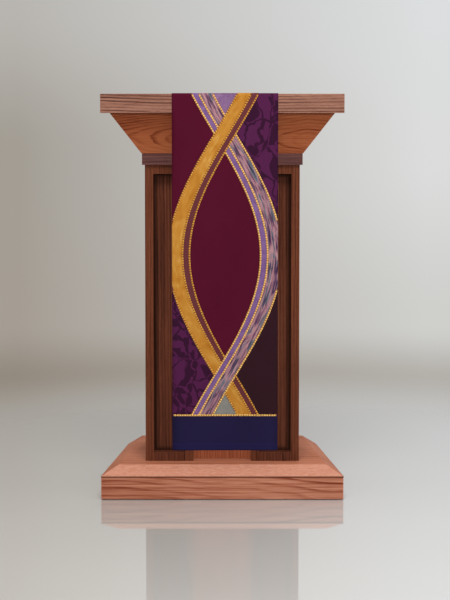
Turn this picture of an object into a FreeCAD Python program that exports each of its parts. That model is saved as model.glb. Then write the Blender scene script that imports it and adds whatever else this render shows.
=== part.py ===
"""A wooden pulpit: a bevelled base, a column with two recessed posts, a flared crown, a reading
desk and the parament, a long cloth that hangs over the desk's front edge.

Millimetres. +Z is up, +X is the congregation's right as it faces the pulpit, and the front looks
towards -Y. The origin is the middle of the footprint on the floor.
"""
import FreeCAD, Part
import os
import re
import Sketcher

DIMENSIONS = {
    # base
    "base_width": 708,
    "base_depth": 472,
    "base_side_taper": 6.65,
    "base_height": 96,
    "base_board_thickness": 28.5,
    "bevel_run": 44,
    "bevel_rise": 26.5,
    "skirt_setback": 1,
    "skirt_thickness": 20,
    "floor_gap": 1.5,
    "bearer_thickness": 22,
    "block_size": 60,
    "glide_diameter": 28,
    "glide_pin_diameter": 4,
    "glide_pin_length": 16,
    "glide_thickness": 5,
    # column
    "column_width": 453,
    "column_depth": 296,
    "column_height": 877,
    "column_setback": 90,
    "post_width": 141,
    "post_depth": 62,
    "stile_width": 24,
    "recess_depth": 30,
    "recess_margin": 26.5,
    "post_panel_thickness": 15,
    "centre_recess": 40,
    "centre_panel_thickness": 18,
    "groove_depth": 8,
    "rear_stile_width": 50,
    "side_top_rail_height": 60,
    "side_bottom_rail_height": 80,
    "side_panel_thickness": 10,
    "rear_top_rail_height": 45,
    "rear_bottom_rail_height": 50,
    "rear_rail_thickness": 20,
    # shelves
    "shelf_thickness": 18,
    "middle_shelf_level": 500,
    "shelf_slack": 1,
    "cleat_size": 22,
    # collar
    "collar_height": 33.5,
    "collar_projection": 8,
    "collar_thickness": 22,
    # crown
    "crown_height": 118,
    "crown_side_flare": 89,
    "crown_front_flare": 53,
    "crown_margin": 1.3,
    "crown_thickness": 20,
    # desk
    "desk_width": 700,
    "rim_height": 55,
    "rim_width": 60,
    "desk_slope_drop": 35,
    "reading_board_thickness": 18,
    "housing_depth": 12,
    "book_stop_height": 14,
    "book_stop_thickness": 12,
    # parament
    "cloth_width": 305,
    "cloth_offset": 7.7,
    "cloth_thickness": 2,
    "cloth_gap": 0.3,
    "cloth_hem_level": 147.5,
    "cloth_tail": 200,
    "weight_bar_width": 22,
    "weight_bar_thickness": 6,
    "weight_bar_length": 290,
    # screws
    "screw_diameter": 5,
    "screw_head_diameter": 10,
    "screw_head_height": 4,
    "screw_grip": 32,
    "cleat_screw_reach": 14,
    "collar_screw_inset": 6,
    "collar_screw_edge": 8,
}

SIDES = ((-1, "left"), (1, "right"))
FRONT = "(-base_depth / 2)"
REAR = "(base_depth / 2)"
BASE_TOP = "base_height"
COLUMN_TOP = "(base_height + column_height)"
COLLAR_TOP = f"({COLUMN_TOP} + collar_height)"
CROWN_TOP = f"({COLLAR_TOP} + crown_height)"
DESK_TOP = f"({CROWN_TOP} + rim_height)"

COLUMN_SIDE = "(column_width / 2)"
COLUMN_FRONT = f"({FRONT} + column_setback)"
COLUMN_REAR = f"({COLUMN_FRONT} + column_depth)"
POST_REAR = f"({COLUMN_FRONT} + post_depth)"
POST_PANEL_FRONT = f"({COLUMN_FRONT} + recess_depth)"
POST_PANEL_REAR = f"({POST_PANEL_FRONT} + post_panel_thickness)"
POST_INNER = f"({COLUMN_SIDE} - post_width)"
WALL_INNER = f"({COLUMN_SIDE} - stile_width)"
CENTRE_PANEL_FRONT = f"({COLUMN_FRONT} + centre_recess)"
CENTRE_PANEL_REAR = f"({CENTRE_PANEL_FRONT} + centre_panel_thickness)"
REAR_STILE_FRONT = f"({COLUMN_REAR} - rear_stile_width)"

DESK_SIDE = "(desk_width / 2)"
DESK_FRONT = f"({FRONT} + cloth_thickness + cloth_gap)"
RIM_INNER = f"({DESK_SIDE} - rim_width)"
BOARD_FRONT = f"({DESK_FRONT} + rim_width)"
BOARD_REAR = f"({REAR} - rim_width)"
BOARD_LOW = f"({DESK_TOP} - desk_slope_drop)"

# The side panels, the tongues of the side rails and the rear rails, and the rear rails' heights.
SIDE_PANEL_X = (
    f"({COLUMN_SIDE} - stile_width / 2 - side_panel_thickness / 2)",
    f"({COLUMN_SIDE} - stile_width / 2 + side_panel_thickness / 2)",
)
MORTISE_X = (WALL_INNER, f"({WALL_INNER} + groove_depth)")
REAR_RAIL_Y = (f"({COLUMN_REAR} - rear_rail_thickness)", COLUMN_REAR)
REAR_TONGUE_Y = (
    f"({COLUMN_REAR} - rear_rail_thickness * 3 / 4)",
    f"({COLUMN_REAR} - rear_rail_thickness / 4)",
)
REAR_RAILS = {
    "rear_top_rail": (f"({COLUMN_TOP} - rear_top_rail_height)", COLUMN_TOP),
    "rear_bottom_rail": (BASE_TOP, f"({BASE_TOP} + rear_bottom_rail_height)"),
}

# Where the screws go in each stile: in plan from below and from above, and in depth for a cleat's.
OUTER_STILE_MIDDLE = f"({COLUMN_SIDE} - stile_width / 2)"
INNER_STILE_MIDDLE = f"({POST_INNER} + stile_width / 2)"
POST_MIDDLE = f"({COLUMN_FRONT} + post_depth / 2)"
REAR_STILE_MIDDLE = f"({COLUMN_REAR} - rear_stile_width / 2)"
COLLAR_SCREW_Y = f"({COLUMN_FRONT} + collar_screw_inset)"
BASE_SCREWS = {
    "corner_stile": (OUTER_STILE_MIDDLE, POST_MIDDLE),
    "inner_stile": (INNER_STILE_MIDDLE, POST_MIDDLE),
    "rear_stile": (OUTER_STILE_MIDDLE, REAR_STILE_MIDDLE),
}
COLLAR_SCREWS = {
    "corner_stile": (f"({WALL_INNER} + collar_screw_edge)", COLLAR_SCREW_Y),
    "inner_stile": (INNER_STILE_MIDDLE, COLLAR_SCREW_Y),
}
CLEAT_SCREWS = {
    "corner_stile": f"({POST_PANEL_REAR} + screw_diameter)",
    "rear_stile": REAR_STILE_MIDDLE,
}
CLEAT_MIDDLE = "(middle_shelf_level - cleat_size / 2)"
CLEAT_SCREW_TIP = f"({WALL_INNER} + cleat_screw_reach)"

# For each axis that a feature is made along: the sketch plane, the two axes drawn in it, and
# the sign of the plane's normal.
PLANES = {
    "x": ("YZ_Plane", 1, 2, 1),
    "y": ("XZ_Plane", 0, 2, -1),
    "z": ("XY_Plane", 0, 1, 1),
}

document = FreeCAD.newDocument("pulpit")


def make_sheet():
    """Write the driving dimensions into the document's spreadsheet."""
    sheet = document.addObject("Spreadsheet::Sheet", "dim")
    for row, (alias, number) in enumerate(DIMENSIONS.items(), start=1):
        sheet.set(f"A{row}", alias)
        sheet.set(f"B{row}", str(number))
        sheet.setAlias(f"B{row}", alias)
    document.recompute()


def bound(expression):
    """Name the sheet in front of each dimension, as setExpression needs it."""
    return re.sub(r"[a-z_]+(?![a-z_(])", lambda word: "dim." + word.group(), expression)


def value(expression):
    """The number that an expression of dimensions stands for now."""
    return float(document.dim.evalExpression(expression))


def mirrored(side, inner, outer):
    """The low and high X of a piece on one side, -1 for the left and 1 for the right."""
    return (inner, outer) if side > 0 else (f"(-{outer})", f"(-{inner})")


def rectangle(across, up):
    """The corners of a rectangle between two pairs of low and high values."""
    return [(across[0], up[0]), (across[1], up[0]), (across[1], up[1]), (across[0], up[1])]


class Piece:
    """One sub-part: a body whose sketches are drawn in the row's frame, less its own corner."""

    def __init__(self, name, corner=("0", "0", "0")):
        self.corner = corner
        self.body = document.addObject("PartDesign::Body", name)
        self.body.Label = name
        for axis, place in zip("xyz", corner):
            self.body.setExpression(f"Placement.Base.{axis}", bound(place))

    def sketch(self, axis, level, outlines, circles):
        """A sketch across one axis, at a level along it, of closed outlines and circles."""
        plane, across, up, normal = PLANES[axis]
        drawing = self.body.newObject("Sketcher::SketchObject", f"{self.body.Name}_sketch")
        support = [face for face in self.body.Origin.OriginFeatures if face.Role == plane]
        drawing.AttachmentSupport = (support[0], [""])
        drawing.MapMode = "FlatFace"
        offset = f"{normal} * ({level} - {self.corner['xyz'.index(axis)]})"
        drawing.setExpression(".AttachmentOffset.Base.z", bound(offset))
        local = [
            [(f"{a} - {self.corner[across]}", f"{b} - {self.corner[up]}") for a, b in outline]
            for outline in outlines
        ]
        for outline in local:
            self.draw_outline(drawing, outline)
        for a, b, diameter in circles:
            centre = (f"{a} - {self.corner[across]}", f"{b} - {self.corner[up]}")
            self.draw_circle(drawing, centre, diameter)
        return drawing

    def draw_outline(self, drawing, outline):
        """Draw a closed polygon with each corner's two distances bound to the sheet."""
        first = drawing.GeometryCount
        corners = [FreeCAD.Vector(value(a), value(b), 0) for a, b in outline]
        for start, end in zip(corners, corners[1:] + corners[:1]):
            drawing.addGeometry(Part.LineSegment(start, end), False)
        for index, place in enumerate(outline):
            line = first + index
            following = first + (index + 1) % len(outline)
            drawing.addConstraint(Sketcher.Constraint("Coincident", line, 2, following, 1))
            self.fix_point(drawing, line, 1, place)

    def draw_circle(self, drawing, centre, diameter):
        """Draw a circle with its centre and diameter bound to the sheet."""
        middle = FreeCAD.Vector(value(centre[0]), value(centre[1]), 0)
        circle = Part.Circle(middle, FreeCAD.Vector(0, 0, 1), value(diameter) / 2)
        line = drawing.addGeometry(circle, False)
        self.fix_point(drawing, line, 3, centre)
        datum = drawing.addConstraint(Sketcher.Constraint("Diameter", line, value(diameter)))
        drawing.setExpression(f"Constraints[{datum}]", bound(diameter))

    def fix_point(self, drawing, line, point, place):
        """Bind a point's two distances from the sketch's origin."""
        for kind, distance in zip(("DistanceX", "DistanceY"), place):
            constraint = Sketcher.Constraint(kind, -1, 1, line, point, value(distance))
            datum = drawing.addConstraint(constraint)
            drawing.setExpression(f"Constraints[{datum}]", bound(distance))

    def add(self, axis, low, high, outlines=(), circles=()):
        """Pad outlines and circles along an axis, from low to high."""
        start = low if PLANES[axis][3] > 0 else high
        pad = self.body.newObject("PartDesign::Pad", f"{self.body.Name}_pad")
        self.finish(pad, self.sketch(axis, start, outlines, circles), low, high)
        return self

    def cut(self, axis, low, high, outlines=(), circles=()):
        """Pocket outlines and circles along an axis, from high down to low."""
        start = high if PLANES[axis][3] > 0 else low
        pocket = self.body.newObject("PartDesign::Pocket", f"{self.body.Name}_pocket")
        self.finish(pocket, self.sketch(axis, start, outlines, circles), low, high)
        return self

    def cut_along(self, start, turn, length, outline):
        """Pocket an outline, drawn from a point of the plan, along +Y turned by an angle."""
        drawing = self.sketch("y", start[1], [], [])
        upright = FreeCAD.Rotation(FreeCAD.Vector(0, 1, 0), value(turn))
        drawing.AttachmentOffset = FreeCAD.Placement(FreeCAD.Vector(), upright)
        drawing.setExpression(".AttachmentOffset.Base.x", bound(f"{start[0]} - {self.corner[0]}"))
        drawing.setExpression(".AttachmentOffset.Rotation.Angle", bound(turn))
        self.draw_outline(drawing, [(a, f"{b} - {self.corner[2]}") for a, b in outline])
        pocket = self.body.newObject("PartDesign::Pocket", f"{self.body.Name}_pocket")
        self.finish(pocket, drawing, "0", length)

    def finish(self, feature, drawing, low, high):
        """Give a pad or pocket its sketch and its length."""
        feature.Profile = drawing
        feature.setExpression("Length", bound(f"{high} - {low}"))


def board(name, x, y, z):
    """A rectangular board, placed by its lowest corner."""
    return Piece(name, (x[0], y[0], z[0])).add("z", z[0], z[1], [rectangle(x, y)])


def mitred_frame(prefix, sides, outer_x, outer_y, width, z, mitred_rear=True):
    """The boards of a level frame, outside sizes outer_x and outer_y, mitred at its corners."""
    x_low, x_high = outer_x
    y_low, y_high = outer_y
    side_rear_trim = width if mitred_rear else "0"
    corners = {
        "front": [
            (x_low, y_low),
            (x_high, y_low),
            (f"({x_high} - {width})", f"({y_low} + {width})"),
            (f"({x_low} + {width})", f"({y_low} + {width})"),
        ],
        "rear": [
            (x_low, y_high),
            (x_high, y_high),
            (f"({x_high} - {width})", f"({y_high} - {width})"),
            (f"({x_low} + {width})", f"({y_high} - {width})"),
        ],
        "left": [
            (x_low, y_low),
            (x_low, y_high),
            (f"({x_low} + {width})", f"({y_high} - {side_rear_trim})"),
            (f"({x_low} + {width})", f"({y_low} + {width})"),
        ],
        "right": [
            (x_high, y_low),
            (x_high, y_high),
            (f"({x_high} - {width})", f"({y_high} - {side_rear_trim})"),
            (f"({x_high} - {width})", f"({y_low} + {width})"),
        ],
    }
    pieces = {}
    for side in sides:
        piece = Piece(prefix.format(side), ("0", "0", z[0]))
        pieces[side] = piece.add("z", z[0], z[1], [corners[side]])
    return pieces


def add_screws(group, axis, places, head, shank):
    """Add screws along one axis, given the low and high ends of their heads and shanks."""
    group.add(axis, *head, circles=[(a, b, "screw_head_diameter") for a, b in places])
    group.add(axis, *shank, circles=[(a, b, "screw_diameter") for a, b in places])


def drill_for_screws(piece, axis, places, head, shank):
    """Cut the counterbores and holes that a set of screws needs in one board."""
    piece.cut(axis, *head, circles=[(a, b, "screw_head_diameter") for a, b in places])
    piece.cut(axis, *shank, circles=[(a, b, "screw_diameter") for a, b in places])


def hexahedron(name, lower, upper):
    """A board with a flat face between each pair of edges of its lower and upper ends."""
    corner = lower[0]
    lower = [point - corner for point in lower]
    upper = [point - corner for point in upper]
    faces = [lower, upper]
    faces += [
        [lower[k], lower[(k + 1) % 4], upper[(k + 1) % 4], upper[k]]
        for k in range(4)
    ]
    shell = Part.Shell([Part.Face(Part.makePolygon(face + face[:1])) for face in faces])
    solid = Part.Solid(shell)
    if solid.Volume < 0:
        solid.reverse()
    feature = document.addObject("Part::Feature", name)
    feature.Label = name
    feature.Shape = solid
    feature.Placement = FreeCAD.Placement(corner, FreeCAD.Rotation())


def base_side(y, inset="0"):
    """Half the base's width at a depth, or a distance in from its slanting side."""
    taper = f"({y} - {FRONT}) * tan(base_side_taper)"
    return f"(base_width / 2 - {taper} - {inset} / cos(base_side_taper))"


def base_board():
    """The base's top board, bevelled in front and at its sides, with holes for the screws."""
    side = "(base_width / 2)"
    low = "(base_height - base_board_thickness)"
    nose = "(base_height - bevel_rise)"
    rear = base_side(REAR)
    piece = Piece("base_top_board", (f"(-{side})", FRONT, low))
    piece.add("z", low, BASE_TOP, [
        [(f"(-{side})", FRONT), (side, FRONT), (rear, REAR), (f"(-{rear})", REAR)]])
    piece.cut("x", f"(-{side})", side, [
        [(FRONT, nose), (f"({FRONT} + bevel_run)", BASE_TOP), (FRONT, BASE_TOP)]])
    for hand, side_name in SIDES:
        run = f"({hand} * bevel_run)"
        piece.cut_along((f"({hand} * {side})", FRONT), f"({hand} * base_side_taper)", "2 * base_depth", [
            (f"(-{run})", BASE_TOP), (run, f"({nose} - bevel_rise)"), (run, BASE_TOP)])
    neck = f"({low} + screw_head_height)"
    places = both_sides(BASE_SCREWS.values())
    drill_for_screws(piece, "z", places, (low, neck), (neck, BASE_TOP))
    add_screws(Piece("base_screws"), "z", places, (low, neck), (neck, f"({BASE_TOP} + screw_grip)"))


def base_underframe():
    """The skirt, the bearers under the column's walls, the corner blocks and the glides."""
    top = "(base_height - base_board_thickness)"
    inner = "(skirt_setback + skirt_thickness)"
    ends = {"front": (FRONT, "1"), "rear": (REAR, "(-1)")}
    outside = {end: f"({y} + {inwards} * skirt_setback)" for end, (y, inwards) in ends.items()}
    inside = {end: f"({y} + {inwards} * {inner})" for end, (y, inwards) in ends.items()}
    outer_x = {end: base_side(y, "skirt_setback") for end, y in outside.items()}
    inner_x = {end: base_side(y, inner) for end, y in inside.items()}
    skirt_z = ("floor_gap", top)
    for end in ends:
        Piece(f"base_skirt_{end}", ("0", "0", "floor_gap")).add("z", *skirt_z, [[
            (f"(-{outer_x[end]})", outside[end]),
            (outer_x[end], outside[end]),
            (inner_x[end], inside[end]),
            (f"(-{inner_x[end]})", inside[end]),
        ]])
    glide_places = []
    for hand, side_name in SIDES:
        Piece(f"base_skirt_{side_name}", ("0", "0", "floor_gap")).add("z", *skirt_z, [[
            (f"({hand} * {outer_x['front']})", outside["front"]),
            (f"({hand} * {outer_x['rear']})", outside["rear"]),
            (f"({hand} * {inner_x['rear']})", inside["rear"]),
            (f"({hand} * {inner_x['front']})", inside["front"]),
        ]])
        across = mirrored(hand, f"({WALL_INNER} - bearer_thickness)", WALL_INNER)
        board(f"{side_name}_base_bearer", across, (inside["front"], inside["rear"]),
              ("glide_thickness", top))
        for end, (y, inwards) in ends.items():
            far = f"({inside[end]} + {inwards} * block_size)"
            rearmost = far if end == "front" else inside[end]
            block_inner = f"({base_side(rearmost, inner)} - block_size)"
            block = Piece(f"{side_name}_{end}_base_block", ("0", "0", "glide_thickness"))
            block.add("z", "glide_thickness", top, [[
                (f"({hand} * {block_inner})", inside[end]),
                (f"({hand} * {base_side(inside[end], inner)})", inside[end]),
                (f"({hand} * {base_side(far, inner)})", far),
                (f"({hand} * {block_inner})", far),
            ]])
            place = (f"({hand} * ({block_inner} + block_size / 2))", f"(({inside[end]} + {far}) / 2)")
            block.cut("z", "glide_thickness", "(glide_thickness + glide_pin_length)",
                      circles=[(*place, "glide_pin_diameter")])
            glide_places.append(place)
    glides = Piece("base_glides")
    glides.add("z", "0", "glide_thickness", circles=[(a, b, "glide_diameter") for a, b in glide_places])
    glides.add("z", "glide_thickness", "(glide_thickness + glide_pin_length)",
               circles=[(a, b, "glide_pin_diameter") for a, b in glide_places])


def both_sides(places):
    """The same places in plan on the left and on the right."""
    return [(f"({hand} * {a})", b) for a, b in places for hand, side_name in SIDES]


def drill_stile(piece, name, hand):
    """Drill a stile for the screws that come into it from the base, the collar and a cleat."""
    a, b = BASE_SCREWS[name]
    hole = (f"({hand} * {a})", b, "screw_diameter")
    piece.cut("z", BASE_TOP, f"({BASE_TOP} + screw_grip)", circles=[hole])
    if name in COLLAR_SCREWS:
        a, b = COLLAR_SCREWS[name]
        hole = (f"({hand} * {a})", b, "screw_diameter")
        piece.cut("z", f"({COLUMN_TOP} - screw_grip)", COLUMN_TOP, circles=[hole])
    if name in CLEAT_SCREWS:
        hole = (CLEAT_SCREWS[name], CLEAT_MIDDLE, "screw_diameter")
        piece.cut("x", *mirrored(hand, WALL_INNER, CLEAT_SCREW_TIP), circles=[hole])


def column_post(hand, side_name):
    """One front post: two stiles and two short rails round a deeply recessed panel."""
    height = (BASE_TOP, COLUMN_TOP)
    depth = (COLUMN_FRONT, POST_REAR)
    panel_y = (POST_PANEL_FRONT, POST_PANEL_REAR)
    inner_edge = f"({POST_INNER} + stile_width)"
    panel_x = (f"({inner_edge} - groove_depth)", f"({WALL_INNER} + groove_depth)")

    corner = board(f"{side_name}_corner_stile", mirrored(hand, WALL_INNER, COLUMN_SIDE), depth, height)
    corner.cut("z", *height, [rectangle(mirrored(hand, WALL_INNER, panel_x[1]), panel_y)])
    corner.cut("z", *height, [rectangle(
        mirrored(hand, SIDE_PANEL_X[0], SIDE_PANEL_X[1]), (f"({POST_REAR} - groove_depth)", POST_REAR))])
    drill_stile(corner, "corner_stile", hand)

    inner = board(f"{side_name}_inner_stile", mirrored(hand, POST_INNER, inner_edge), depth, height)
    inner.cut("z", *height, [rectangle(mirrored(hand, panel_x[0], inner_edge), panel_y)])
    inner.cut("z", *height, [rectangle(
        mirrored(hand, POST_INNER, f"({POST_INNER} + groove_depth)"),
        (CENTRE_PANEL_FRONT, CENTRE_PANEL_REAR))])
    drill_stile(inner, "inner_stile", hand)

    rail_x = mirrored(hand, inner_edge, WALL_INNER)
    rail_y = (COLUMN_FRONT, POST_PANEL_FRONT)
    board(f"{side_name}_post_top_rail", rail_x, rail_y, (f"({COLUMN_TOP} - recess_margin)", COLUMN_TOP))
    board(f"{side_name}_post_bottom_rail", rail_x, rail_y, (BASE_TOP, f"({BASE_TOP} + recess_margin)"))
    board(f"{side_name}_post_panel", mirrored(hand, *panel_x), panel_y, height)


def column_side(hand, side_name):
    """One side wall behind a post: rear stile, top and bottom rails, and a grooved-in panel."""
    wall_x = mirrored(hand, WALL_INNER, COLUMN_SIDE)
    panel_x = mirrored(hand, *SIDE_PANEL_X)
    groove_front = f"({POST_REAR} - groove_depth)"
    groove_rear = f"({REAR_STILE_FRONT} + groove_depth)"
    between = (POST_REAR, REAR_STILE_FRONT)
    top_rail_low = f"({COLUMN_TOP} - side_top_rail_height)"
    bottom_rail_high = f"({BASE_TOP} + side_bottom_rail_height)"

    stile = board(f"{side_name}_rear_stile", wall_x, (REAR_STILE_FRONT, COLUMN_REAR), (BASE_TOP, COLUMN_TOP))
    stile.cut("z", BASE_TOP, COLUMN_TOP, [rectangle(panel_x, (REAR_STILE_FRONT, groove_rear))])
    drill_stile(stile, "rear_stile", hand)
    for name, z in REAR_RAILS.items():
        stile.cut("z", *z, [rectangle(mirrored(hand, *MORTISE_X), REAR_TONGUE_Y)])

    tongue = rectangle(panel_x, (groove_front, groove_rear))
    panel_z = (f"({bottom_rail_high} - groove_depth)", f"({top_rail_low} + groove_depth)")
    top_rail = board(f"{side_name}_side_top_rail", wall_x, between, (top_rail_low, COLUMN_TOP))
    top_rail.add("z", top_rail_low, COLUMN_TOP, [tongue])
    top_rail.cut("z", top_rail_low, panel_z[1], [tongue])
    bottom_rail = board(f"{side_name}_side_bottom_rail", wall_x, between, (BASE_TOP, bottom_rail_high))
    bottom_rail.add("z", BASE_TOP, bottom_rail_high, [tongue])
    bottom_rail.cut("z", panel_z[0], bottom_rail_high, [tongue])
    board(f"{side_name}_side_panel", panel_x, (groove_front, groove_rear), panel_z)


def column_middle():
    """The centre panel between the posts, and the rear rails between the side walls."""
    half = f"({POST_INNER} + groove_depth)"
    y = (CENTRE_PANEL_FRONT, CENTRE_PANEL_REAR)
    board("centre_panel", (f"(-{half})", half), y, (BASE_TOP, COLUMN_TOP))
    tongue_x = (f"(-{MORTISE_X[1]})", MORTISE_X[1])
    for name, z in REAR_RAILS.items():
        rail = board(name, (f"(-{WALL_INNER})", WALL_INNER), REAR_RAIL_Y, z)
        rail.add("z", *z, [rectangle(tongue_x, REAR_TONGUE_Y)])


def shelves():
    """The middle shelf on its two screwed cleats, and the upper shelf inside the collar."""
    half = f"({WALL_INNER} - shelf_slack)"
    y = (f"({POST_REAR} + shelf_slack)", COLUMN_REAR)
    z = ("middle_shelf_level", "(middle_shelf_level + shelf_thickness)")
    board("middle_shelf", (f"(-{half})", half), y, z)

    screws = Piece("cleat_screws")
    cleat_y = (POST_PANEL_REAR, COLUMN_REAR)
    cleat_z = ("(middle_shelf_level - cleat_size)", "middle_shelf_level")
    places = [(along, CLEAT_MIDDLE) for along in CLEAT_SCREWS.values()]
    inner = f"({WALL_INNER} - cleat_size)"
    neck = f"({inner} + screw_head_height)"
    for hand, side_name in SIDES:
        cleat = board(f"{side_name}_shelf_cleat", mirrored(hand, inner, WALL_INNER), cleat_y, cleat_z)
        head = mirrored(hand, inner, neck)
        drill_for_screws(cleat, "x", places, head, mirrored(hand, neck, WALL_INNER))
        add_screws(screws, "x", places, head, mirrored(hand, neck, CLEAT_SCREW_TIP))

    inset = "(collar_thickness - collar_projection)"
    half = f"({COLUMN_SIDE} - {inset})"
    y = (f"({COLUMN_FRONT} + {inset})", f"({COLUMN_REAR} - {inset})")
    board("upper_shelf", (f"(-{half})", half), y, (COLUMN_TOP, f"({COLUMN_TOP} + shelf_thickness)"))


def collar():
    """The mitred frame round the column's top, screwed down into the post stiles."""
    half = f"({COLUMN_SIDE} + collar_projection)"
    y = (f"({COLUMN_FRONT} - collar_projection)", f"({COLUMN_REAR} + collar_projection)")
    pieces = mitred_frame("collar_{}", ("front", "rear", "left", "right"), (f"(-{half})", half), y,
                          "collar_thickness", (COLUMN_TOP, COLLAR_TOP))
    neck = f"({COLLAR_TOP} - screw_head_height)"
    places = both_sides(COLLAR_SCREWS.values())
    head = (neck, COLLAR_TOP)
    drill_for_screws(pieces["front"], "z", places, head, (COLUMN_TOP, neck))
    add_screws(Piece("collar_screws"), "z", places, head, (f"({COLUMN_TOP} - screw_grip)", neck))


def crown():
    """Three boards that flare from the collar out to the desk, mitred at the front corners."""
    reach = value("collar_projection + crown_margin")
    thickness = value("crown_thickness")
    levels = []
    for level, side_flare, front_flare in (
        (COLLAR_TOP, 0, 0),
        (CROWN_TOP, value("crown_side_flare"), value("crown_front_flare")),
    ):
        side = value(COLUMN_SIDE) + reach + side_flare
        front = value(COLUMN_FRONT) - reach - front_flare
        rear = value(COLUMN_REAR) + reach + front_flare
        plan = {
            "front": [
                (-side, front),
                (side, front),
                (side - thickness, front + thickness),
                (thickness - side, front + thickness),
            ]
        }
        for hand, side_name in SIDES:
            plan[side_name] = [
                (hand * side, front),
                (hand * side, rear),
                (hand * (side - thickness), rear),
                (hand * (side - thickness), front + thickness),
            ]
        levels.append({
            name: [FreeCAD.Vector(a, b, value(level)) for a, b in corners]
            for name, corners in plan.items()
        })
    for name, lower in levels[0].items():
        hexahedron(f"crown_{name}", lower, levels[1][name])


def slope(y, below="0"):
    """The height of the reading board's upper face at a depth, or a distance below it."""
    fall = f"desk_slope_drop * ({y} - {BOARD_FRONT}) / ({BOARD_REAR} - {BOARD_FRONT})"
    return f"({DESK_TOP} - {fall} - {below})"


def desk():
    """The level rim of the desk and the sloping reading board housed in its side rails."""
    x = (f"(-{DESK_SIDE})", DESK_SIDE)
    rails = mitred_frame("desk_{}_rail", ("front", "left", "right"), x, (DESK_FRONT, REAR),
                         "rim_width", (CROWN_TOP, DESK_TOP), mitred_rear=False)
    inner = (f"(-{RIM_INNER})", RIM_INNER)
    board("desk_rear_rail", inner, (BOARD_REAR, REAR), (CROWN_TOP, BOARD_LOW))

    profile = [
        (BOARD_FRONT, slope(BOARD_FRONT)),
        (BOARD_REAR, slope(BOARD_REAR)),
        (BOARD_REAR, slope(BOARD_REAR, "reading_board_thickness")),
        (BOARD_FRONT, slope(BOARD_FRONT, "reading_board_thickness")),
    ]
    housed = f"({RIM_INNER} + housing_depth)"
    for hand, side_name in SIDES:
        rails[side_name].cut("x", *mirrored(hand, RIM_INNER, housed), [profile])
    reading_board = Piece("reading_board", (f"(-{housed})", BOARD_FRONT, BOARD_LOW))
    reading_board.add("x", f"(-{housed})", housed, [profile])

    stop_front = f"({BOARD_REAR} - book_stop_thickness)"
    stop_top = f"({BOARD_LOW} + book_stop_height)"
    book_stop = Piece("book_stop", (inner[0], stop_front, BOARD_LOW))
    book_stop.add("x", *inner, [[
        (stop_front, slope(stop_front)),
        (BOARD_REAR, BOARD_LOW),
        (BOARD_REAR, stop_top),
        (stop_front, stop_top),
    ]])

    cleat_rear = f"({BOARD_FRONT} + cleat_size)"
    cleat_low = f"({DESK_TOP} - reading_board_thickness - cleat_size)"
    cleat = Piece("desk_cleat", (inner[0], BOARD_FRONT, cleat_low))
    cleat.add("x", *inner, [[
        (BOARD_FRONT, cleat_low),
        (cleat_rear, cleat_low),
        (cleat_rear, slope(cleat_rear, "reading_board_thickness")),
        (BOARD_FRONT, slope(BOARD_FRONT, "reading_board_thickness")),
    ]])


def parament():
    """The cloth: down the front, over the desk's front rail and onto the reading board."""
    tail = f"({BOARD_FRONT} + cloth_tail)"
    inner_face = f"({DESK_FRONT} - cloth_gap)"
    over = f"({DESK_TOP} + cloth_gap)"
    outside = f"({over} + cloth_thickness)"
    x = ("(cloth_offset - cloth_width / 2)", "(cloth_offset + cloth_width / 2)")
    cloth = Piece("parament_cloth", (x[0], FRONT, "cloth_hem_level"))
    cloth.add("x", *x, [[
        (FRONT, "cloth_hem_level"),
        (FRONT, outside),
        (BOARD_FRONT, outside),
        (tail, slope(tail, "(-cloth_gap - cloth_thickness)")),
        (tail, slope(tail, "(-cloth_gap)")),
        (BOARD_FRONT, over),
        (inner_face, over),
        (inner_face, "cloth_hem_level"),
    ]])

    lift = "(-cloth_gap - cloth_thickness)"
    raised = "(-cloth_gap - cloth_thickness - weight_bar_thickness)"
    bar_front = f"({tail} - weight_bar_width)"
    x = ("(cloth_offset - weight_bar_length / 2)", "(cloth_offset + weight_bar_length / 2)")
    bar = Piece("parament_weight_bar", (x[0], bar_front, slope(tail)))
    bar.add("x", *x, [[
        (bar_front, slope(bar_front, lift)),
        (tail, slope(tail, lift)),
        (tail, slope(tail, raised)),
        (bar_front, slope(bar_front, raised)),
    ]])


def check_document():
    """Stop if any object failed, any sub-part is empty or broken, or any cut took nothing."""
    for item in document.Objects:
        if {"Invalid", "Error"} & set(item.State):
            raise RuntimeError(f"{item.Name} failed: {item.State}")
        if item.TypeId == "PartDesign::Pocket":
            if item.Shape.Volume >= item.BaseFeature.Shape.Volume:
                raise RuntimeError(f"{item.Name} cut nothing")
    for item in sub_parts():
        if item.Shape.isNull() or not item.Shape.isValid():
            raise RuntimeError(f"{item.Label} has no valid shape")


def sub_parts():
    """Every body and plain shape of the document."""
    return [item for item in document.Objects if item.TypeId in ("PartDesign::Body", "Part::Feature")]


make_sheet()
base_board()
base_underframe()
for sign, word in SIDES:
    column_post(sign, word)
    column_side(sign, word)
column_middle()
shelves()
collar()
crown()
desk()
parament()
document.recompute()
check_document()

os.makedirs("parts", exist_ok=True)
for sub_part in sub_parts():
    sub_part.Shape.exportStep(f"parts/{sub_part.Label}.step")
print(len(sub_parts()), "sub-parts")
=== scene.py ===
"""The looks of the wooden pulpit: its woods, its parament and a plain studio."""
import math

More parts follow.
